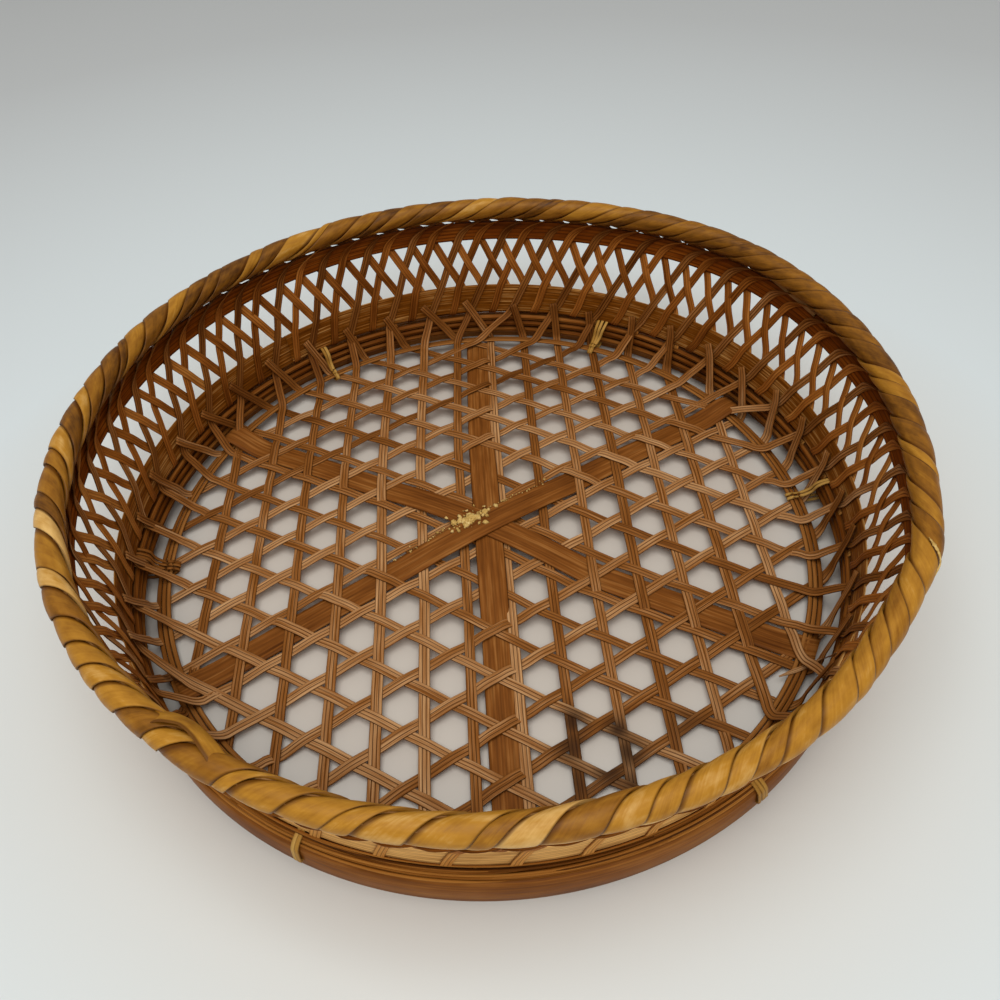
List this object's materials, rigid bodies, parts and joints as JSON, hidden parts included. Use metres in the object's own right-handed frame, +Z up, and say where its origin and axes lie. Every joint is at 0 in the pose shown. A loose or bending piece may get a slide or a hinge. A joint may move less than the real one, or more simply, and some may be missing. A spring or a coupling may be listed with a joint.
{
  "type": "basket tray",
  "caption": "Round woven bamboo basket tray with an open hexagonal base, wide slats, a lattice wall between bands, a foot ring and a cane-bound rim, for serving or keeping small things.",
  "frame": {"origin": "on the tray's axis, at the level that the foot ring stands on", "axes": "+Z up along the tray's axis; +Y along one of the three directions of the base splits"},
  "size_m": [0.2979, 0.298, 0.0728],
  "materials": {
    "base_split": "satin lengthwise grain",
    "base_slat": "satin lengthwise grain",
    "edge_hoop": "satin",
    "wall_rod": "satin, dark",
    "foot_ring": "smooth satin",
    "middle_band": "satin with fine grooves",
    "upper_band": "satin, dark red brown",
    "rim_hoop": "matte",
    "rim_wrap": "glossy cane"
  },
  "bodies": {
    "root": {"base_split_a_01": "base_split", "base_split_a_02": "base_split", "base_split_a_03": "base_split", "base_split_a_04": "base_split", "base_split_a_05": "base_split", "base_split_a_06": "base_split", "base_split_a_07": "base_split", "base_split_a_08": "base_split", "base_split_a_09": "base_split", "base_split_a_10": "base_split", "base_split_a_11": "base_split", "base_split_a_12": "base_split", "base_split_a_13": "base_split", "base_split_a_14": "base_split", "base_split_b_01": "base_split", "base_split_b_02": "base_split", "base_split_b_03": "base_split", "base_split_b_04": "base_split", "base_split_b_05": "base_split", "base_split_b_06": "base_split", "base_split_b_07": "base_split", "base_split_b_08": "base_split", "base_split_b_09": "base_split", "base_split_b_10": "base_split", "base_split_b_11": "base_split", "base_split_b_12": "base_split", "base_split_b_13": "base_split", "base_split_b_14": "base_split", "base_split_c_01": "base_split", "base_split_c_02": "base_split", "base_split_c_03": "base_split", "base_split_c_04": "base_split", "base_split_c_05": "base_split", "base_split_c_06": "base_split", "base_split_c_07": "base_split", "base_split_c_08": "base_split", "base_split_c_09": "base_split", "base_split_c_10": "base_split", "base_split_c_11": "base_split", "base_split_c_12": "base_split", "base_split_c_13": "base_split", "base_split_c_14": "base_split", "base_slat_a": "base_slat", "base_slat_c": "base_slat", "base_slat_b": "base_slat", "edge_split_1": "edge_hoop", "edge_split_2": "edge_hoop", "edge_split_3": "edge_hoop", "wall_rod_1": "wall_rod", "wall_rod_2": "wall_rod", "wall_rod_3": "wall_rod", "foot_ring": "foot_ring", "middle_band_with_outer_splits": "middle_band", "upper_band_with_inner_splits": "upper_band", "rim_hoop_inner": "rim_hoop", "rim_hoop_outer": "rim_hoop", "rim_wrap": "rim_wrap"}
  },
  "joints": []
}
